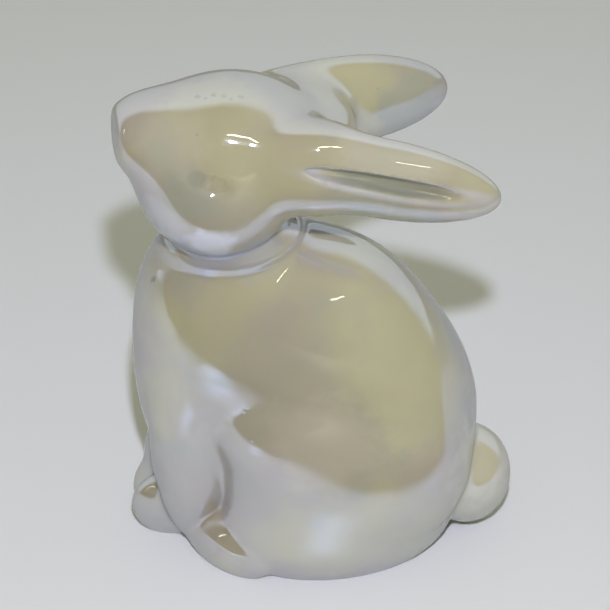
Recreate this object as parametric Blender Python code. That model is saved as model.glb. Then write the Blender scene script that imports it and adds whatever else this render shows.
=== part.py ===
"""A seated hare figurine in pearl-glazed earthenware, slip-cast in one piece.

The hare is pressed together from lumps of clay, as a modeller would do it. Each lump is an ellipsoid with a
place, a size and a turn. Lumps are blended into members, and the members into each other. Ear hollows, eye
sockets and the blunt front of the nose are then scooped out. The hare sits on its flat foot and faces -X.
Places and sizes are counted in parts of the hare's own height, so the whole figure scales from one number.
"""
import math

import bmesh
import bpy
import numpy as np
from mathutils import Matrix, Vector

# Driving dimension, in metres: the crown of the head above the ground
HARE_HEIGHT = 0.104

# Driving counts: the parts in the hare's height, and how fine its skin is
PARTS_TALL = 106.82
SKIN_STEPS_TALL = 140.0
MAX_TRIANGLES = 9900
ROUGH_SUBDIVISIONS = 4
SETTLE_ROUNDS = 14
FIRM_ROUNDS = 3
EASING = 0.5
LEAST_SLOPE = 0.25
TINY = 1e-9

# The size of one part, of one step along the skin, and of the feeler that finds the skin's slope
PART = HARE_HEIGHT / PARTS_TALL
SKIN_STEP = HARE_HEIGHT / SKIN_STEPS_TALL
FEELER = 0.05 * PART

# The pearl glaze
GLAZE_COLOUR = (0.66, 0.65, 0.61, 1.0)
GLAZE_ROUGHNESS = 0.12
GLAZE_METALLIC = 0.35

# The head is turned towards the hare's left, and everything on it is placed from its middle, in parts
HEAD_CENTRE = (-16.8, -3.0, 88.0)
HEAD_TURN = 13.0
LEFT = -1
RIGHT = 1
SIDES = (LEFT, RIGHT)

# The ears, in parts and degrees: for each one how far back and how high it sits, its droop and its half depth
EAR_SET = {LEFT: (27.5, 4.1, 13.0, 8.0), RIGHT: (28.2, 2.8, 7.5, 9.5)}
EAR_ROOT_RISE = {LEFT: 4.6, RIGHT: 2.2}
EAR_OUT = 15.2
EAR_HALF_LENGTH = 23.6
EAR_HALF_THICKNESS = 5.2
EAR_SPREAD = 12.0
HOLLOW_RISE = 1.2
HOLLOW_HALF_LENGTH = 16.0
HOLLOW_DEPTH = 2.3
HOLLOW_HALF_WIDTH = 1.7

# The eyes, in parts and degrees
EYE_PLACE = (-2.9, 15.2, 6.9)
EYE_TURN = 16.0
EYE_SLANT = 15.0
EYEBALL_SUNK = 0.6

# Each fillet is the width of the blend between a member and the members before it, in parts
HAUNCH_FILLET = 9.0
THIGH_FILLET = 2.0
FOOT_FILLET = 1.5
PAW_FILLET = 3.0
TAIL_FILLET = 3.0
NECK_FILLET = 2.4
EAR_FILLET = 6.0
EYE_FILLET = 0.4


class Lump:
    """An ellipsoid of clay: its middle, its three radii, its turn about Z, then its pitch about Y.

    It is given in parts and degrees, and kept in metres.
    """

    def __init__(self, middle, radii, turn=0.0, pitch=0.0, blend=4.0):
        self.middle = Vector(middle) * PART
        self.radii = Vector(radii) * PART
        turned = Matrix.Rotation(math.radians(turn), 3, "Z")
        self.matrix = turned @ Matrix.Rotation(math.radians(pitch), 3, "Y")
        self.blend = blend

    def distance(self, points):
        """Near enough the distance from each point to the lump's skin, negative inside it."""
        local = (points - np.array(self.middle)) @ np.array(self.matrix)
        radii = np.array(self.radii)
        scaled = np.linalg.norm(local / radii, axis=1)
        slope = np.linalg.norm(local / radii**2, axis=1)
        return scaled * (scaled - 1.0) / np.maximum(slope, TINY)


def head_lump(middle, radii, turn=0.0, pitch=0.0, blend=4.0):
    """A lump placed back, sideways and up from the middle of the head, and turned with it."""
    away = Matrix.Rotation(math.radians(HEAD_TURN), 3, "Z") @ Vector(middle)
    return Lump(Vector(HEAD_CENTRE) + away, radii, HEAD_TURN + turn, pitch, blend)


def trunk_lumps():
    """The torso, the rump, the chest, the shoulders, the two front legs, the short neck and the belly."""
    return [
        Lump((-1.5, 0.0, 44.3), (28.0, 19.3, 28.4), pitch=-37.0),
        Lump((8.3, 0.0, 28.5), (27.1, 20.0, 31.0), blend=10.0),
        Lump((-20.3, 0.0, 40.0), (13.8, 13.5, 33.5), pitch=-2.0, blend=10.0),
        Lump((-14.0, 0.0, 57.0), (17.2, 15.4, 20.0), blend=8.0),
        Lump((-22.2, -7.6, 28.0), (9.0, 7.8, 27.0), pitch=1.0, blend=2.5),
        Lump((-22.8, 7.4, 28.0), (9.0, 7.8, 27.0), pitch=-2.0, blend=2.5),
        Lump((-25.8, 5.0, 13.0), (8.0, 6.5, 11.0), blend=3.0),
        Lump((-13.8, -0.9, 72.8), (13.6, 12.0, 5.4), pitch=-6.0, blend=4.0),
        Lump((-9.0, 0.0, 2.0), (19.0, 9.0, 9.0), blend=4.0),
    ]


def haunch_lumps(side):
    """The round of one haunch, which runs smoothly into the flank."""
    return [Lump((11.5, side * 9.0, 20.0), (21.5, 14.0, 20.0))]


def thigh_lumps(side):
    """One knee, the seat under it and the thigh between, with a crease along their front and top."""
    return [
        Lump((-1.0, side * 12.3, 34.0), (17.0, 10.2, 13.5)),
        Lump((6.8, side * 9.0, 8.0), (24.6, 13.9, 14.0), turn=-side * 11.0, blend=6.0),
        Lump((3.0, side * 10.0, 21.0), (19.5, 13.5, 18.0), blend=8.0),
    ]


def foot_lumps(side):
    """One hind foot, hugging the front of the seat."""
    return [Lump((-15.3, side * 12.3, 4.4), (12.4, 6.6, 7.5), turn=side * 44.0)]


def paw_lumps():
    """The two front paws, side by side in one low mound."""
    return [Lump((-27.2, side * 3.4, 5.7), (9.0, 4.4, 8.2), blend=3.6) for side in SIDES]


def tail_lumps():
    """The round tail, resting on the ground."""
    return [Lump((34.0, 0.0, 11.5), (9.3, 9.3, 11.3))]


def head_lumps():
    """The ball of the cheeks, the flat crown, the lifted muzzle and the saddle between the ears."""
    return [
        head_lump((0.5, 0.0, -0.4), (15.7, 16.3, 15.5)),
        head_lump((3.2, 0.0, 8.2), (15.4, 13.0, 10.9), blend=8.0),
        head_lump((-8.4, 0.0, 8.2), (12.4, 9.4, 8.7), pitch=26.0, blend=8.0),
        head_lump((16.5, 5.0, 2.5), (12.0, 10.5, 9.5), blend=9.0),
    ]


def ear_lumps(side):
    """One ear, laid back with its blade on edge, and its thick root in the side of the head."""
    back, rise, droop, blade = EAR_SET[side]
    radii = (EAR_HALF_LENGTH, EAR_HALF_THICKNESS, blade)
    return [
        head_lump((back, side * EAR_OUT, rise), radii, side * EAR_SPREAD, droop),
        head_lump((16.0, side * 9.8, EAR_ROOT_RISE[side]), (11.5, 7.6, 9.2), blend=7.0),
    ]


def eye_lumps(side):
    """The low bulge of one eye in its socket."""
    back, out, rise = EYE_PLACE
    middle = (back, side * (out - EYEBALL_SUNK), rise)
    return [head_lump(middle, (3.1, 1.0, 1.6), side * EYE_TURN, EYE_SLANT)]


def ear_hollow(side):
    """The long hollow in the outer face of one ear."""
    back, rise, droop, blade = EAR_SET[side]
    middle = (back + 1.2, side * (EAR_OUT + EAR_HALF_THICKNESS), rise + HOLLOW_RISE)
    radii = (HOLLOW_HALF_LENGTH, HOLLOW_DEPTH, HOLLOW_HALF_WIDTH)
    return head_lump(middle, radii, side * EAR_SPREAD, droop, blend=0.8)


def eye_socket(side):
    """The shallow almond hollow round one eye."""
    back, out, rise = EYE_PLACE
    return head_lump((back, side * out, rise), (4.6, 1.1, 2.3), side * EYE_TURN, EYE_SLANT, blend=1.4)


def scoops():
    """Everything scooped out of the clay: the blunt front of the nose, the ear hollows, the eye sockets."""
    nose_front = head_lump((-78.3, 0.0, 14.0), (60.0, 60.0, 60.0), blend=1.5)
    hollows = [ear_hollow(side) for side in SIDES]
    sockets = [eye_socket(side) for side in SIDES]
    return [nose_front] + hollows + sockets


def members():
    """Every member of the hare with the fillet that joins it to the ones before."""
    haunches = [(haunch_lumps(side), HAUNCH_FILLET) for side in SIDES]
    thighs = [(thigh_lumps(side), THIGH_FILLET) for side in SIDES]
    feet = [(foot_lumps(side), FOOT_FILLET) for side in SIDES]
    low_parts = [(paw_lumps(), PAW_FILLET), (tail_lumps(), TAIL_FILLET)]
    head = [(head_lumps(), NECK_FILLET)]
    ears = [(ear_lumps(side), EAR_FILLET) for side in SIDES]
    return haunches + thighs + feet + low_parts + head + ears


def press_on(clay, lump, blend):
    """Joins a lump to the clay with a fillet about as wide as the blend, which is in parts."""
    width = blend * PART
    overlap = np.maximum(width - np.abs(clay - lump), 0.0) / width
    return np.minimum(clay, lump) - overlap**3 * width / 6.0


def pressed(points, lumps):
    """The distance from each point to the lumps pressed together in turn."""
    clay = lumps[0].distance(points)
    for lump in lumps[1:]:
        clay = press_on(clay, lump.distance(points), lump.blend)
    return clay


def clay_distance(points):
    """The distance from each point to the finished clay."""
    clay = pressed(points, trunk_lumps())
    for lumps, fillet in members():
        clay = press_on(clay, pressed(points, lumps), fillet)
    for scoop in scoops():
        clay = -press_on(-clay, scoop.distance(points), scoop.blend)
    for side in SIDES:
        clay = press_on(clay, pressed(points, eye_lumps(side)), EYE_FILLET)
    return clay


def rough_shape(name, lumps):
    """The lumps as plain ellipsoids in one object."""
    shape = bmesh.new()
    for lump in lumps:
        stretched = lump.matrix.to_4x4() @ Matrix.Diagonal((*lump.radii, 1.0))
        place = Matrix.Translation(lump.middle) @ stretched
        bmesh.ops.create_icosphere(shape, subdivisions=ROUGH_SUBDIVISIONS, radius=1.0, matrix=place)
    mesh = bpy.data.meshes.new(name)
    shape.to_mesh(mesh)
    shape.free()
    found = bpy.data.objects.new(name, mesh)
    bpy.context.scene.collection.objects.link(found)
    return found


def fuse(block, name):
    """Puts one closed skin round everything in the block."""
    remesh = block.modifiers.new(name, "REMESH")
    remesh.mode = "VOXEL"
    remesh.voxel_size = SKIN_STEP


def finished_mesh(thing):
    """The mesh that an object's modifiers leave. The object itself goes."""
    seen = bpy.context.evaluated_depsgraph_get()
    mesh = bpy.data.meshes.new_from_object(thing.evaluated_get(seen))
    bpy.data.objects.remove(thing)
    return mesh


def rough_block():
    """All the lumps fused into one skin, with the scoops taken out of it."""
    lumps = trunk_lumps() + [lump for member, fillet in members() for lump in member]
    block = rough_shape("rough_block", lumps)
    fuse(block, "fuse_lumps")
    spoons = rough_shape("spoons", scoops())
    scoop = block.modifiers.new("scoop", "BOOLEAN")
    scoop.operation = "DIFFERENCE"
    scoop.object = spoons
    fuse(block, "fuse_scoops")
    mesh = finished_mesh(block)
    bpy.data.objects.remove(spoons)
    return mesh


def eased(points, edges, valence):
    """The points drawn half way towards the middle of their neighbours."""
    total = np.zeros_like(points)
    np.add.at(total, edges[:, 0], points[edges[:, 1]])
    np.add.at(total, edges[:, 1], points[edges[:, 0]])
    return (1.0 - EASING) * points + EASING * total / valence


def pulled(points):
    """The points moved onto the skin of the clay along its steepest slope."""
    here = clay_distance(points)
    slopes = []
    for axis in np.eye(3):
        ahead = clay_distance(points + FEELER * axis)
        behind = clay_distance(points - FEELER * axis)
        slopes.append((ahead - behind) / (2.0 * FEELER))
    slope = np.stack(slopes, axis=1)
    steepness = np.maximum((slope**2).sum(axis=1), LEAST_SLOPE)
    return points - slope * (here / steepness)[:, None]


def settle(mesh):
    """Settles a rough skin onto the blended clay, easing its points along the surface between moves."""
    count = len(mesh.vertices)
    flat_points = np.zeros(count * 3)
    mesh.vertices.foreach_get("co", flat_points)
    points = flat_points.reshape(-1, 3)
    flat_edges = np.zeros(len(mesh.edges) * 2, np.int64)
    mesh.edges.foreach_get("vertices", flat_edges)
    edges = flat_edges.reshape(-1, 2)
    valence = np.bincount(flat_edges, minlength=count)[:, None]
    for number in range(SETTLE_ROUNDS):
        if number < SETTLE_ROUNDS - FIRM_ROUNDS:
            points = eased(points, edges, valence)
        points = pulled(points)
    mesh.vertices.foreach_set("co", points.ravel())
    mesh.update()


def thinned(mesh):
    """The same skin with fewer triangles, kept small where the skin bends most."""
    dense = bpy.data.objects.new("dense_skin", mesh)
    bpy.context.scene.collection.objects.link(dense)
    thin = dense.modifiers.new("thin", "DECIMATE")
    thin.ratio = min(1.0, MAX_TRIANGLES / (2.0 * len(mesh.polygons)))
    return finished_mesh(dense)


def cut_foot(mesh):
    """Cuts the skin off flat at the ground and closes it with one face."""
    shape = bmesh.new()
    shape.from_mesh(mesh)
    everything = shape.verts[:] + shape.edges[:] + shape.faces[:]
    down = Vector((0.0, 0.0, -1.0))
    cut = bmesh.ops.bisect_plane(shape, geom=everything, plane_co=Vector(), plane_no=down, clear_outer=True)
    rim = [found for found in cut["geom_cut"] if isinstance(found, bmesh.types.BMEdge)]
    bmesh.ops.contextual_create(shape, geom=rim)
    bmesh.ops.recalc_face_normals(shape, faces=shape.faces)
    shape.to_mesh(mesh)
    shape.free()


def stand_in_middle(mesh):
    """Moves the figure so that the origin is under the middle of its own box."""
    points = np.array([vertex.co[:] for vertex in mesh.vertices])
    middle = (points.min(axis=0) + points.max(axis=0)) / 2.0
    mesh.transform(Matrix.Translation((-middle[0], -middle[1], 0.0)))


def pearl_glaze():
    """A pale pearl lustre over white."""
    glaze = bpy.data.materials.new("pearl_glaze")
    glaze.use_nodes = True
    shader = glaze.node_tree.nodes["Principled BSDF"]
    shader.inputs["Base Color"].default_value = GLAZE_COLOUR
    shader.inputs["Roughness"].default_value = GLAZE_ROUGHNESS
    shader.inputs["Metallic"].default_value = GLAZE_METALLIC
    return glaze


def model_hare():
    """The whole hare as one closed skin."""
    dense = rough_block()
    settle(dense)
    mesh = thinned(dense)
    cut_foot(mesh)
    stand_in_middle(mesh)
    mesh.materials.clear()
    mesh.materials.append(pearl_glaze())
    hare = bpy.data.objects.new("hare", mesh)
    bpy.context.scene.collection.objects.link(hare)


def main():
    """Clears the file and models the hare."""
    for old in list(bpy.data.objects):
        bpy.data.objects.remove(old)
    model_hare()


main()
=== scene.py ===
import math

import bpy
import numpy as np
from mathutils import Matrix, Vector


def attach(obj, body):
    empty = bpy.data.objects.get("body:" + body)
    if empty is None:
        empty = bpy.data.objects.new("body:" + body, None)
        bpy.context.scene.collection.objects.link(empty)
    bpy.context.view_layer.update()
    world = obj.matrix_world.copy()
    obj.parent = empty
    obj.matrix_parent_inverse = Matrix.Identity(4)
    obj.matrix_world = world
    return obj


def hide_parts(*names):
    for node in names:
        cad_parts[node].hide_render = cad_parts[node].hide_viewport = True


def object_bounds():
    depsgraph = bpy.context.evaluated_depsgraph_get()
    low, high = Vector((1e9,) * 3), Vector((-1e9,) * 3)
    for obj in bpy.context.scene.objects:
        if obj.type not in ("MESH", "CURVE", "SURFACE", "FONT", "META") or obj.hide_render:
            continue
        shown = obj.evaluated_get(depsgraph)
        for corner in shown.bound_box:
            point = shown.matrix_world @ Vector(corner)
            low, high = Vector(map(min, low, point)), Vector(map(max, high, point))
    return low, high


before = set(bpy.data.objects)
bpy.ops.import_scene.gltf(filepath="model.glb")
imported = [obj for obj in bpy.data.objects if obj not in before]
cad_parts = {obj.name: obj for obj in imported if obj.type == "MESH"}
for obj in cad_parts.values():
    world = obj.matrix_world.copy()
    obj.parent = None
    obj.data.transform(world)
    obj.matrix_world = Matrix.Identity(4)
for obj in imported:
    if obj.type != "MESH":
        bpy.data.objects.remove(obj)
cadLow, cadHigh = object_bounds()
print("frame loaded, hare box from", [round(x, 4) for x in cadLow], "to", [round(x, 4) for x in cadHigh])


def only(thing):
    # everything else is deselected, so that an operator acts on this alone
    bpy.ops.object.select_all(action="DESELECT")
    thing.select_set(True)
    bpy.context.view_layer.objects.active = thing


def applyModifier(thing, kind, **settings):
    only(thing)
    modifier = thing.modifiers.new(kind.lower(), kind)
    for name, value in settings.items():
        setattr(modifier, name, value)
    bpy.ops.object.modifier_apply(modifier=modifier.name)


def applyPlace(thing):
    only(thing)
    bpy.ops.object.transform_apply(location=True, rotation=True, scale=True)


class Wire:
    # a node socket that can be added, multiplied and so on, so that shader maths reads like maths

    def __init__(self, tree, socket):
        self.tree = tree
        self.socket = socket

    def make(self, kind, out=0, settings=None, **values):
        # a node of any kind: the output to go on from, its settings, then its socket values or links
        # a socket goes by its name, or by its number as i0, i1 and so on
        node = self.tree.nodes.new(kind)
        for name, value in (settings or {}).items():
            setattr(node, name, value)
        for name, value in values.items():
            key = int(name[1:]) if name[0] == "i" and name[1:].isdigit() else name.replace("_", " ")
            plug(self.tree, node.inputs[key], value)
        return Wire(self.tree, node.outputs[out])

    def maths(self, operation, first, second):
        return self.make("ShaderNodeMath", 0, {"operation": operation}, i0=first, i1=second)

    def __add__(self, other):
        return self.maths("ADD", self, other)

    def __radd__(self, other):
        return self.maths("ADD", other, self)

    def __sub__(self, other):
        return self.maths("SUBTRACT", self, other)

    def __rsub__(self, other):
        return self.maths("SUBTRACT", other, self)

    def __mul__(self, other):
        return self.maths("MULTIPLY", self, other)

    def __rmul__(self, other):
        return self.maths("MULTIPLY", other, self)

    def __truediv__(self, other):
        return self.maths("DIVIDE", self, other)

    def __rtruediv__(self, other):
        return self.maths("DIVIDE", other, self)

    def top(self, other):
        return self.maths("MAXIMUM", self, other)

    def low(self, other):
        return self.maths("MINIMUM", self, other)

    def soft(self, start, end, low=0.0, high=1.0):
        # a smooth step from low at start to high at end
        return self.make("ShaderNodeMapRange", 0, {"interpolation_type": "SMOOTHSTEP"}, Value=self,
                         From_Min=start, From_Max=end, To_Min=low, To_Max=high)

    def mix(self, first, second):
        # this wire is the share of the second colour
        return self.make("ShaderNodeMix", 2, {"data_type": "RGBA"}, i0=self, i6=first, i7=second)

    def vector(self, operation, other, out=0):
        return self.make("ShaderNodeVectorMath", out, {"operation": operation}, i0=self, i1=other)

    def parts(self):
        # the x, y and z of a vector
        split = self.make("ShaderNodeSeparateXYZ", Vector=self)
        return [Wire(self.tree, spot) for spot in split.socket.node.outputs]


def plug(tree, spot, value):
    if isinstance(value, Wire):
        tree.links.new(value.socket, spot)
    elif spot.type == "RGBA":
        spot.default_value = (*value, 1.0)
    else:
        spot.default_value = value


def newMaterial(name):
    made = bpy.data.materials.new(name)
    made.use_nodes = True
    tree = made.node_tree
    return made, tree, Wire(tree, tree.nodes.new("ShaderNodeTexCoord").outputs["Object"])


# the camera stands where the photograph was taken from: metres, degrees, and millimetres for the lens
view = {
    "target": (-0.00326, -0.00285, 0.05355),
    "distance": 0.4089,
    "elevation": 36.0,
    "lens": 125.2,
    "sensorWidth": 36.0,
    "clipStart": 0.01,
    "clipEnd": 20.0,
}


def fromSide(azimuth, elevation, distance):
    # a place round the hare, and the turn that faces it from there; azimuth 0 is the camera's side
    turn, lift = math.radians(azimuth), math.radians(elevation)
    out = Vector((math.sin(turn) * math.cos(lift), -math.cos(turn) * math.cos(lift), math.sin(lift)))
    return Vector(view["target"]) + out * distance, (-out).to_track_quat("-Z", "Y").to_euler()


spot, turned = fromSide(0.0, view["elevation"], view["distance"])
bpy.ops.object.camera_add(location=spot)
camera = bpy.context.object
camera.name = "camera"
camera.rotation_euler = turned
camera.data.sensor_width = view["sensorWidth"]
camera.data.lens = view["lens"]
camera.data.clip_start = view["clipStart"]
camera.data.clip_end = view["clipEnd"]
bpy.context.scene.camera = camera
print("camera placed")


# The hare's clay. A lump is an ellipsoid: middle, radii, turn about Z, pitch about Y, width of its blend.
# Lengths are parts of the hare's own height, angles are degrees, and the hare looks along -X.
# The height and the skin's steps are in metres.
hareClay = {
    "height": 0.104,
    "partsTall": 106.82,
    "skinStep": 0.00056,
    "quickSkinStep": 0.0011,
    "ballSubdivisions": 5,
    "rounds": 14,
    "firmRounds": 3,  # the last rounds, which only pull and no longer ease
    "feeler": 0.05,
    "leastSteepness": 0.25,
    "smoothAngle": 60.0,
    "headMiddle": (-16.8, -3.0, 88.0),
    "headTurn": 13.0,
    "trunk": [
        ((-1.5, 0.0, 44.3), (28.0, 19.3, 28.4), 0.0, -37.0, 0.0),
        ((8.3, 0.0, 28.5), (27.1, 20.0, 31.0), 0.0, 0.0, 10.0),
        ((-20.3, 0.0, 40.0), (13.8, 13.5, 33.5), 0.0, -2.0, 10.0),
        ((-14.0, 0.0, 57.0), (17.2, 15.4, 20.0), 0.0, 0.0, 8.0),
        ((-22.2, -7.6, 28.0), (9.0, 7.8, 27.0), 0.0, 1.0, 2.5),
        ((-22.8, 7.4, 28.0), (9.0, 7.8, 27.0), 0.0, -2.0, 2.5),
        ((-25.8, 5.0, 13.0), (8.0, 6.5, 11.0), 0.0, 0.0, 3.0),
        ((-13.8, -0.9, 72.8), (13.6, 12.0, 5.4), 0.0, -6.0, 4.0),
        ((-9.0, 0.0, 2.0), (19.0, 9.0, 9.0), 0.0, 0.0, 4.0),
    ],
    "haunch": [
        ((11.5, 9.0, 20.0), (21.5, 14.0, 20.0), 0.0, 0.0, 0.0),
    ],
    "thigh": [
        ((-1.0, 12.3, 34.0), (17.0, 10.2, 13.5), 0.0, 0.0, 0.0),
        ((6.8, 9.0, 8.0), (24.6, 13.9, 14.0), -11.0, 0.0, 6.0),
        ((3.0, 10.0, 21.0), (19.5, 13.5, 18.0), 0.0, 0.0, 8.0),
    ],
    "foot": [
        ((-15.3, 12.3, 4.4), (12.4, 6.6, 7.5), 44.0, 0.0, 0.0),
    ],
    "paws": [
        ((-27.2, -3.4, 5.7), (9.0, 4.4, 8.2), 0.0, 0.0, 0.0),
        ((-27.2, 3.4, 5.7), (9.0, 4.4, 8.2), 0.0, 0.0, 3.6),
    ],
    "tail": [
        ((34.0, 0.0, 11.5), (9.3, 9.3, 11.3), 0.0, 0.0, 0.0),
    ],
    "head": [
        ((0.5, 0.0, -0.4), (15.7, 16.3, 15.5), 0.0, 0.0, 0.0),
        ((3.2, 0.0, 8.2), (15.4, 13.0, 10.9), 0.0, 0.0, 8.0),
        ((-8.4, 0.0, 8.2), (12.4, 9.4, 8.7), 0.0, 26.0, 8.0),
        ((16.5, 5.0, 2.5), (12.0, 10.5, 9.5), 0.0, 0.0, 9.0),
    ],
    "nearEar": [
        ((27.5, -15.2, 4.1), (23.6, 5.2, 8.0), -12.0, 13.0, 0.0),
        ((16.0, -9.8, 4.6), (11.5, 7.6, 9.2), 0.0, 0.0, 7.0),
    ],
    "farEar": [
        ((28.2, 15.2, 2.8), (23.6, 5.2, 9.5), 12.0, 7.5, 0.0),
        ((16.0, 9.8, 2.2), (11.5, 7.6, 9.2), 0.0, 0.0, 7.0),
    ],
    "noseFront": [
        ((-78.3, 0.0, 14.0), (60.0, 60.0, 60.0), 0.0, 0.0, 1.5),
    ],
    "nearHollow": [
        ((28.7, -20.4, 5.3), (16.0, 2.3, 1.7), -12.0, 13.0, 0.8),
    ],
    "farHollow": [
        ((29.4, 20.4, 4.0), (16.0, 2.3, 1.7), 12.0, 7.5, 0.8),
    ],
    "socket": [
        ((-2.9, 15.2, 6.9), (4.6, 1.1, 2.3), 16.0, 15.0, 1.4),
    ],
    "eyeball": [
        ((-2.9, 14.6, 6.9), (3.1, 1.0, 1.6), 16.0, 15.0, 0.0),
    ],
    "fillets": {
        "haunch": 9.0, "thigh": 2.0, "foot": 1.5, "paws": 3.0, "tail": 3.0,
        "head": 2.4, "ear": 6.0, "eye": 0.4,
    },
}

part = hareClay["height"] / hareClay["partsTall"]


class Lump:
    def __init__(self, row, side=1, onHead=False):
        middle, radii, turn, pitch, blend = row
        middle = Vector((middle[0], middle[1] * side, middle[2]))
        turn = turn * side
        if onHead:
            head = Matrix.Rotation(math.radians(hareClay["headTurn"]), 3, "Z")
            middle = Vector(hareClay["headMiddle"]) + head @ middle
            turn += hareClay["headTurn"]
        self.middle = middle * part
        self.radii = Vector(radii) * part
        self.turn = math.radians(turn)
        self.pitch = math.radians(pitch)
        self.blend = blend
        self.frame = np.array(Matrix.Rotation(self.turn, 3, "Z") @ Matrix.Rotation(self.pitch, 3, "Y"))

    def distance(self, points):
        local = (points - np.array(self.middle)) @ self.frame
        radii = np.array(self.radii)
        scaled = np.linalg.norm(local / radii, axis=1)
        slope = np.linalg.norm(local / radii**2, axis=1)
        return scaled * (scaled - 1.0) / np.maximum(slope, 1e-9)


def lumps(name, side=1, onHead=False):
    return [Lump(row, side, onHead) for row in hareClay[name]]


# each member is its lumps and the fillet that joins it to the members before it
fillets = hareClay["fillets"]
members = [(lumps("trunk"), 0.0)]
for name in ("haunch", "thigh", "foot"):
    members += [(lumps(name, side), fillets[name]) for side in (-1, 1)]
members += [(lumps(name), fillets[name]) for name in ("paws", "tail")]
members += [(lumps("head", 1, True), fillets["head"])]
members += [(lumps(name, 1, True), fillets["ear"]) for name in ("nearEar", "farEar")]
scoops = lumps("noseFront", 1, True) + lumps("nearHollow", 1, True) + lumps("farHollow", 1, True)
scoops += lumps("socket", -1, True) + lumps("socket", 1, True)
eyeballs = [lumps("eyeball", side, True) for side in (-1, 1)]


def pressOn(clay, lump, blend):
    # joins a lump to the clay with a fillet about as wide as the blend
    width = max(blend, 0.01) * part
    overlap = np.maximum(width - np.abs(clay - lump), 0.0) / width
    return np.minimum(clay, lump) - overlap**3 * width / 6.0


def pressed(points, group):
    clay = group[0].distance(points)
    for lump in group[1:]:
        clay = pressOn(clay, lump.distance(points), lump.blend)
    return clay


def clayDistance(points):
    # how far the points are outside the clay, below 0 inside it
    clay = pressed(points, members[0][0])
    for group, fillet in members[1:]:
        clay = pressOn(clay, pressed(points, group), fillet)
    for scoop in scoops:
        clay = -pressOn(-clay, scoop.distance(points), scoop.blend)
    for group in eyeballs:
        clay = pressOn(clay, pressed(points, group), fillets["eye"])
    return clay


def addBalls(name, group):
    # each lump as a ball, stretched and turned into place, and all of them joined
    balls = []
    for lump in group:
        bpy.ops.object.select_all(action="DESELECT")
        bpy.ops.mesh.primitive_ico_sphere_add(subdivisions=hareClay["ballSubdivisions"], radius=1.0,
                                              location=lump.middle)
        ball = bpy.context.object
        ball.scale = lump.radii
        ball.rotation_euler = (0.0, lump.pitch, lump.turn)
        applyPlace(ball)
        balls.append(ball)
    bpy.ops.object.select_all(action="DESELECT")
    for ball in balls:
        ball.select_set(True)
    bpy.context.view_layer.objects.active = balls[0]
    bpy.ops.object.join()
    made = bpy.context.object
    made.name = name
    return made


def pulled(points):
    # the points moved onto the clay's skin along its steepest slope
    feeler = hareClay["feeler"] * part
    here = clayDistance(points)
    slope = np.stack([(clayDistance(points + feeler * axis) - clayDistance(points - feeler * axis))
                      / (2.0 * feeler) for axis in np.eye(3)], axis=1)
    steepness = np.maximum((slope**2).sum(axis=1), hareClay["leastSteepness"])
    return points - slope * (here / steepness)[:, None]


def settleSkin(thing):
    # the skin is eased and pulled by turns, because a smooth remesh would blunt the eyes and the ears' rims
    mesh = thing.data
    count = len(mesh.vertices)
    points = np.zeros(count * 3)
    mesh.vertices.foreach_get("co", points)
    points = points.reshape(-1, 3)
    ends = np.zeros(len(mesh.edges) * 2, np.int64)
    mesh.edges.foreach_get("vertices", ends)
    ends = ends.reshape(-1, 2)
    valence = np.bincount(ends.ravel(), minlength=count)[:, None]
    for number in range(hareClay["rounds"]):
        if number < hareClay["rounds"] - hareClay["firmRounds"]:
            # half way to the middle of the points next to it
            total = np.stack([np.bincount(ends[:, 0], points[ends[:, 1], axis], count)
                              + np.bincount(ends[:, 1], points[ends[:, 0], axis], count)
                              for axis in range(3)], axis=1)
            points = 0.5 * points + 0.5 * total / valence
        points = pulled(points)
    mesh.vertices.foreach_set("co", points.ravel())
    mesh.update()


step = hareClay["skinStep"]
hare = addBalls("glazed_hare", [lump for group, fillet in members for lump in group])
applyModifier(hare, "REMESH", mode="VOXEL", voxel_size=step)
spoons = addBalls("spoons", scoops)
applyModifier(hare, "BOOLEAN", operation="DIFFERENCE", object=spoons)
bpy.data.objects.remove(spoons)
applyModifier(hare, "REMESH", mode="VOXEL", voxel_size=step)
settleSkin(hare)
print("hare pressed together,", len(hare.data.polygons), "faces")

# the foot is cut off flat and closed; the fine threshold keeps the cut exactly on the ground
only(hare)
bpy.ops.object.mode_set(mode="EDIT")
bpy.ops.mesh.select_all(action="SELECT")
bpy.ops.mesh.bisect(plane_co=(0, 0, 0), plane_no=(0, 0, -1), clear_outer=True, use_fill=True,
                    threshold=1e-6)
bpy.ops.mesh.select_all(action="SELECT")
bpy.ops.mesh.normals_make_consistent(inside=False)
bpy.ops.object.mode_set(mode="OBJECT")

# the hare goes where the CAD hare stands
corners = np.array([vertex.co[:] for vertex in hare.data.vertices])
middle = (corners.min(axis=0) + corners.max(axis=0)) / 2.0
cadMiddle = (cadLow + cadHigh) / 2.0
hare.location = (cadMiddle[0] - middle[0], cadMiddle[1] - middle[1], 0.0)
applyPlace(hare)
bpy.ops.object.shade_smooth_by_angle(angle=math.radians(hareClay["smoothAngle"]))
print("hare stands, moved by", round(cadMiddle[0] - middle[0], 5), round(cadMiddle[1] - middle[1], 5))


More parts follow.
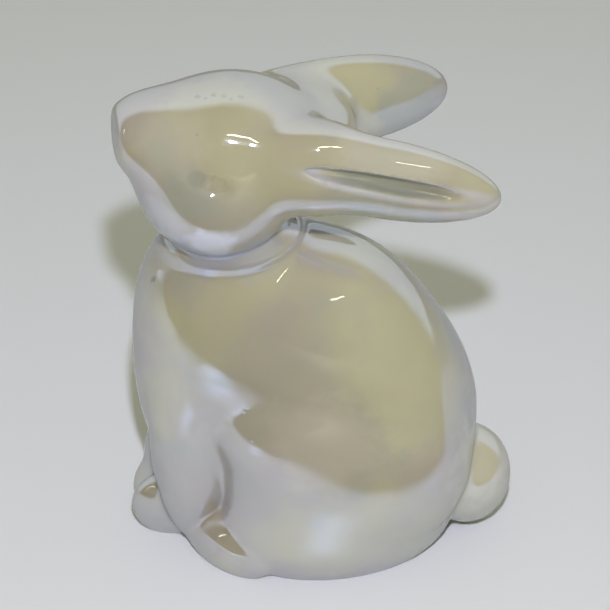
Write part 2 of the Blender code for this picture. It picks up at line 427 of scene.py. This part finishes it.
# the pearl glaze: a thin lustre film over a warm base whose tint drifts from place to place, with painted
# reflections, painted shade and painted highlights laid into the base colour
pearl = {
    "beige": (0.40, 0.37, 0.26),
    "yellow": (0.47, 0.445, 0.25),
    "rose": (0.41, 0.36, 0.265),
    "green": (0.36, 0.37, 0.27),
    "cream": (0.57, 0.535, 0.365),
    # painted shade for the eye corners
    "paintedEyeShade": (0.25, 0.26, 0.18),
    # darker painted reflection for the foot and paw patches
    "paintedDarkReflection": (0.27, 0.235, 0.15),
    # painted shade for the band under the jaw
    "paintedJawShade": (0.33, 0.345, 0.38),
    # painted highlight for the chin and jaw
    "paintedJawHighlight": (0.66, 0.66, 0.66),
    # painted shade inside the ear hollows
    "paintedHollowShade": (0.20, 0.21, 0.14),
    # painted reflection on the rims of the ear hollows
    "thin": (0.55, 0.54, 0.58),
    "fleckTint": (0.16, 0.15, 0.12),
    "bareClay": (0.62, 0.58, 0.50),
    "bareBelow": (0.05, 0.25),  # millimetres above the ground, where the glaze begins and is full
    "bareRoughness": 0.6,
    "roughness": (0.025, 0.055),
    "filmIor": 4.0,
    "filmTint": (0.69, 0.765, 1.0),
    # clouds: size of the clumps in millimetres, detail, shift
    "blotches": (5.0, 3.0, 19.0),
    "crumbs": (0.7, 2.0, 71.0),
    "dullness": (9.0, 3.0, 5.0),
    "longWaves": (7.0, 1.0, 31.0),
    "shortWaves": (2.6, 1.0, 63.0),
    "shortWaveShare": 0.12,
    "waveStrength": 0.25,
    "waveDepth": 0.0006,
    # tints that drift over the beige: tint, its cloud, where in the cloud it starts and is full
    "drifts": [
        ("yellow", (26.0, 2.0, 11.0), 0.45, 0.68),
        ("rose", (21.0, 2.0, 47.0), 0.5, 0.72),
        ("green", (17.0, 2.0, 83.0), 0.54, 0.74),
    ],
    # soft places of painted light in the base colour: middle and reach in metres, tint, strength
    "paintedLightPlaces": [
        # painted reflection patches: warm tints where the glaze mirrors the dim room, on the flank, head,
        # ears, nose, foot, tail and thigh
        ((0.015, -0.017, 0.050), 0.018, "yellow", 0.8),
        ((0.018, -0.014, 0.040), 0.015, "yellow", 0.6),
        ((-0.020, -0.013, 0.104), 0.012, "yellow", 0.7),
        ((0.012, -0.015, 0.098), 0.014, "cream", 0.6),
        ((0.004, 0.010, 0.094), 0.013, "yellow", 0.8),
        ((0.0063, 0.0057, 0.0903), 0.006, "cream", 0.7),
        ((-0.0345, -0.014, 0.100), 0.005, "rose", 0.6),
        ((-0.027, -0.016, 0.098), 0.009, "cream", 0.35),
        ((-0.0205, -0.0167, 0.0107), 0.009, "rose", 0.8),
        ((0.031, -0.008, 0.021), 0.014, "cream", 0.8),
        ((0.001, -0.0247, 0.036), 0.014, "cream", 0.35),
        ((0.017, 0.016, 0.086), 0.010, "green", 0.9),
        ((-0.004, -0.0178, 0.0976), 0.010, "yellow", 0.6),
        ((0.028, -0.0163, 0.0887), 0.009, "yellow", 0.7),
        # darker painted reflection on the foot and on the paw
        ((-0.0205, -0.0167, 0.0107), 0.0075, "paintedDarkReflection", 0.15),
        ((-0.0318, -0.0143, 0.0202), 0.006, "paintedDarkReflection", 0.12),
        # painted shade under the jaw, in the neck fold
        ((-0.022, -0.016, 0.0745), 0.008, "paintedJawShade", 0.7),
        ((-0.012, -0.016, 0.0735), 0.008, "paintedJawShade", 0.6),
        # painted highlight on the chin and jaw, where the glaze mirrors the bright sheet
        ((-0.0200, -0.0200, 0.0785), 0.0055, "paintedJawHighlight", 0.75),
        ((-0.0275, -0.0160, 0.0830), 0.006, "paintedJawHighlight", 0.3),
        # painted shade in the inner and outer corners of the eye
        ((-0.0223, -0.0200, 0.0932), 0.0022, "paintedEyeShade", 0.36),
        ((-0.0168, -0.0208, 0.0917), 0.0020, "paintedEyeShade", 0.2),
    ],
    "placeCore": 0.45,
    # tiny marks where the film is worn or flecked: middle and reach in metres, strength
    "flecks": [
        ((-0.0222, -0.0091, 0.1037), 0.0008, 0.34),
        ((-0.0208, -0.0098, 0.1037), 0.0005, 0.30),
        ((-0.0194, -0.0090, 0.1039), 0.0007, 0.38),
        ((-0.0176, -0.0094, 0.1038), 0.0008, 0.30),
        ((-0.0163, -0.0100, 0.1037), 0.0005, 0.34),
        ((-0.0146, -0.0092, 0.1036), 0.0008, 0.32),
        ((-0.0315, -0.0092, 0.0642), 0.0008, 0.7),
        ((-0.0318, -0.0089, 0.0636), 0.0007, 0.6),
        ((0.0106, 0.0132, 0.0922), 0.0005, 0.9),
        ((-0.0222, -0.0159, 0.0999), 0.0004, 0.3),
    ],
    "fleckCore": 0.3,
    # glaze pimples, where a bubble healed over: middles and reach in metres
    "pimples": [
        (-0.0176, -0.0196, 0.0402), (-0.0147, -0.0205, 0.0414), (-0.0132, -0.0227, 0.0361),
        (-0.0200, -0.0188, 0.0985), (0.0052, -0.0241, 0.0323), (-0.0087, -0.0245, 0.0334),
    ],
    "pimpleReach": 0.0006,
    "pimpleCore": 0.0,
    "pimpleHeight": 0.3,
    "raggedness": 0.9,
    # the ear hollows, rimmed with a painted reflection and filled with painted shade: middle and half sizes
    # in metres, droop in degrees
    "hollows": [
        ((0.0125, -0.0168, 0.0900), (0.0158, 0.0034, 0.0019), 13.0),
        ((0.0030, 0.0225, 0.0870), (0.0158, 0.0034, 0.0019), 7.5),
    ],
    # shares of the painted rim reflection and the painted hollow shade
    "thinShare": 0.6,
    "paintedHollowShadeShare": 0.7,
}

glaze, tree, place = newMaterial("pearl_glaze")
inMillimetres = place.vector("MULTIPLY", (1000.0, 1000.0, 1000.0))


def cloud(size, detail, shift):
    # a soft cloudy value about 0.5, with clumps about as big as the size in millimetres
    moved = inMillimetres.vector("ADD", (shift, shift * 0.7, -shift * 0.4))
    return place.make("ShaderNodeTexNoise", Vector=moved, Scale=1.0 / size, Detail=detail, Roughness=0.5)


def around(middle, reach, ragged, core):
    # 1 in the core of a place and 0 beyond its reach, with a ragged border
    gap = place.vector("DISTANCE", middle, 1) / reach + (ragged - 0.5) * pearl["raggedness"]
    return gap.soft(core, 1.0, 1.0, 0.0)


colour = pearl["beige"]
for tint, drift, start, full in pearl["drifts"]:
    colour = cloud(*drift).soft(start, full).mix(colour, pearl[tint])
blotches = cloud(*pearl["blotches"])
# the painted reflections, painted shade and painted highlights go into the base colour
for middle, reach, tint, strength in pearl["paintedLightPlaces"]:
    colour = (around(middle, reach, blotches, pearl["placeCore"]) * strength).mix(colour, pearl[tint])
for middle, halves, droop in pearl["hollows"]:
    # a pale rim is painted round each ear hollow and its inside is painted dark: a painted reflection on the
    # rim and painted shade in the hollow; the gap is 1 on the rim
    inEar = place.make("ShaderNodeVectorRotate", settings={"rotation_type": "Y_AXIS"}, Vector=place,
                       Center=middle, Angle=math.radians(-droop))
    gap = inEar.vector("SUBTRACT", middle).vector("DIVIDE", halves).vector("LENGTH", (0.0, 0.0, 0.0), 1)
    rim = gap.soft(0.75, 1.05) * gap.soft(1.05, 1.5, 1.0, 0.0)
    colour = (rim * pearl["thinShare"]).mix(colour, pearl["thin"])
    colour = (gap.soft(0.45, 0.9, 1.0, 0.0) * pearl["paintedHollowShadeShare"]).mix(colour, pearl["paintedHollowShade"])
crumbs = cloud(*pearl["crumbs"])
for middle, reach, strength in pearl["flecks"]:
    colour = (around(middle, reach, crumbs, pearl["fleckCore"]) * strength).mix(colour, pearl["fleckTint"])
bare = inMillimetres.parts()[2].soft(*pearl["bareBelow"], 1.0, 0.0)
colour = bare.mix(colour, pearl["bareClay"])
roughness = cloud(*pearl["dullness"]).soft(0.3, 0.7, *pearl["roughness"]) + bare * pearl["bareRoughness"]
waves = cloud(*pearl["longWaves"]) + cloud(*pearl["shortWaves"]) * pearl["shortWaveShare"]
for middle in pearl["pimples"]:
    pimple = around(middle, pearl["pimpleReach"], crumbs, pearl["pimpleCore"])
    waves = waves + pimple * pearl["pimpleHeight"]
bump = place.make("ShaderNodeBump", Strength=pearl["waveStrength"], Distance=pearl["waveDepth"], Height=waves)

shader = tree.nodes["Principled BSDF"]
plug(tree, shader.inputs["Base Color"], colour)
plug(tree, shader.inputs["Roughness"], roughness)
plug(tree, shader.inputs["Normal"], bump)
shader.inputs["IOR"].default_value = pearl["filmIor"]
shader.inputs["Specular Tint"].default_value = (*pearl["filmTint"], 1.0)
hare.data.materials.clear()
hare.data.materials.append(glaze)
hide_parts("hare")
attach(hare, "root")
print("hare glazed")


# floor, room and lamps: metres, degrees and watts
studio = {
    "floorRadius": 4.0,
    # the near side of the floor is painted darker and warmer and the far side paler and bluer: painted shade
    # across one paper sheet
    "floorNear": (0.70, 0.715, 0.665),
    "floorFar": (0.78, 0.815, 0.835),
    "floorTurns": (-0.12, 0.17),  # from where to where the near tint turns into the far one
    "floorRoughness": 0.65,
    "floorSpecular": 0.25,
    "shadeScale": 9.0,
    "shadeShare": 0.15,
    "sweep": (0.60, 0.62, 0.61),
    "roomLight": (0.385, 0.375, 0.28),
    "roomSeen": (0.11, 0.09, 0.04),
    "roomSeenRight": (0.42, 0.38, 0.20),
    "roomBrightens": (-0.1, 0.8),
    "backdropSeen": (0.80, 0.83, 0.78),
    "backdropRises": (0.08, 0.38),
    "backdropLean": 0.25,
    # the card that darkens the floor's near side in the glaze: the pale sheet's near edge as two points,
    # and how far before and beyond it the sheet fades out
    "cardSize": 6.0,
    "cardEdge": -0.027,
    "cardLift": 0.0006,
    "cardBrightens": (-0.1, 0.25),
    "sheetEdge": ((-0.134, -0.088), (0.127, -0.052)),
    "sheetFades": (-0.014, 0.021),
    "glow": (0.86, 0.91, 1.0),
    "glowStrength": 1.2,
    # where the sheet shines brightest: middle and reach
    "glows": [
        ((-0.057, -0.078, 0.0), 0.016),
        ((-0.050, -0.067, 0.0), 0.014),
        ((0.002, -0.041, 0.0), 0.012),
    ],
    # the key light lights the clay and throws the shadows; the glaze mirrors the glint and the thin tubes
    "lamps": {
        "key_light": {"azimuth": 1.1, "elevation": 45.7, "distance": 0.42, "power": 1.70,
                      "colour": (0.79, 0.78, 1.0), "size": 0.016},
        "glint": {"azimuth": 7.0, "elevation": 50.0, "distance": 0.42, "power": 0.33,
                  "colour": (0.95, 0.96, 1.0), "size": 0.007},
        "ceiling_tube": {"azimuth": 22.0, "elevation": 57.0, "distance": 1.0, "power": 0.2,
                         "colour": (1.0, 0.94, 0.5), "size": 0.26, "sizeY": 0.007, "roll": 4.0},
        "side_tube": {"azimuth": -68.0, "elevation": 20.0, "distance": 1.0, "power": 0.06,
                      "colour": (1.0, 0.95, 0.6), "size": 0.007, "sizeY": 0.24},
        "low_tube": {"azimuth": 37.0, "elevation": 38.0, "distance": 1.0, "power": 0.08,
                     "colour": (1.0, 0.94, 0.5), "size": 0.24, "sizeY": 0.007, "roll": 6.0},
    },
}

bpy.ops.object.select_all(action="DESELECT")
bpy.ops.mesh.primitive_circle_add(vertices=96, radius=studio["floorRadius"], fill_type="NGON",
                                  location=(0, 0, 0))
floor = bpy.context.object
floor.name = "floor"
paper, tree, place = newMaterial("floor_paper")
shade = place.make("ShaderNodeTexNoise", Vector=place, Scale=studio["shadeScale"], Detail=2.0)
farAway = place.parts()[1].soft(*studio["floorTurns"]) + (shade - 0.5) * studio["shadeShare"]
shader = tree.nodes["Principled BSDF"]
plug(tree, shader.inputs["Base Color"], farAway.mix(studio["floorNear"], studio["floorFar"]))
shader.inputs["Roughness"].default_value = studio["floorRoughness"]
shader.inputs["Specular IOR Level"].default_value = studio["floorSpecular"]
floor.data.materials.append(paper)


def addLamp(name, azimuth, elevation, distance, power, colour, size, sizeY=None, roll=0.0):
    spot, turned = fromSide(azimuth, elevation, distance)
    bpy.ops.object.select_all(action="DESELECT")
    bpy.ops.object.light_add(type="AREA", location=spot)
    lamp = bpy.context.object
    lamp.name = name
    turned.rotate_axis("Z", math.radians(roll))
    lamp.rotation_euler = turned
    lamp.data.energy = power
    lamp.data.color = colour
    lamp.data.shape = "RECTANGLE" if sizeY else "DISK"
    lamp.data.size = size
    if sizeY:
        lamp.data.size_y = sizeY
    return lamp


for name, settings in studio["lamps"].items():
    lamp = addLamp(name, **settings)
    lamp.visible_glossy = name != "key_light"
    lamp.visible_diffuse = name == "key_light"

# the dim side of the room, as the glaze sees it beyond the near edge of the pale sheet, and the sheet's glow
bpy.ops.object.select_all(action="DESELECT")
bpy.ops.mesh.primitive_plane_add(size=studio["cardSize"], location=(
    0.0, studio["cardEdge"] - studio["cardSize"] / 2.0, studio["cardLift"]))
card = bpy.context.object
card.name = "dim_room_card"
applyPlace(card)
dim, tree, place = newMaterial("dim_room")
cardX, cardY = place.parts()[:2]
(x0, y0), (x1, y1) = studio["sheetEdge"]
slope = (y1 - y0) / (x1 - x0)
beyond = (cardX * slope - cardY + (y0 - slope * x0)).soft(*studio["sheetFades"])
spots = [(place.vector("DISTANCE", middle, 1) / reach).soft(0.0, 1.0, 1.0, 0.0)
         for middle, reach in studio["glows"]]
glowing = spots[0]
for spot in spots[1:]:
    glowing = glowing.top(spot)
roomTint = cardX.soft(*studio["cardBrightens"]).mix(studio["roomSeen"], studio["roomSeenRight"])
farGlow = place.make("ShaderNodeEmission", Color=roomTint, Strength=1.0)
nearGlow = place.make("ShaderNodeEmission", Color=studio["glow"], Strength=studio["glowStrength"])
clear = place.make("ShaderNodeBsdfTransparent")
seen = place.make("ShaderNodeMixShader", i0=beyond, i1=clear, i2=farGlow)
seen = place.make("ShaderNodeMixShader", i0=glowing, i1=seen, i2=nearGlow)
plug(tree, tree.nodes["Material Output"].inputs["Surface"], seen)
card.data.materials.append(dim)
card.visible_camera = False
card.visible_diffuse = False
card.visible_shadow = False
card.visible_transmission = False

# the camera sees a pale sweep, the glaze sees the room and a pale backdrop, and all else gets soft fill
world = bpy.data.worlds.new("studio")
world.use_nodes = True
bpy.context.scene.world = world
tree = world.node_tree
direction = Wire(tree, tree.nodes.new("ShaderNodeTexCoord").outputs["Generated"])
toRight, toBack = direction.parts()[:2]
room = toRight.soft(*studio["roomBrightens"]).mix(studio["roomSeen"], studio["roomSeenRight"])
backdrop = (toBack - toRight.low(0.0) * studio["backdropLean"]).soft(*studio["backdropRises"])
room = backdrop.mix(room, studio["backdropSeen"])
light = direction.make("ShaderNodeLightPath", "Is Glossy Ray").mix(studio["roomLight"], room)
light = direction.make("ShaderNodeLightPath", "Is Camera Ray").mix(light, studio["sweep"])
plug(tree, tree.nodes["Background"].inputs["Color"], light)
bpy.context.scene.view_settings.view_transform = "Standard"
print("studio set up")
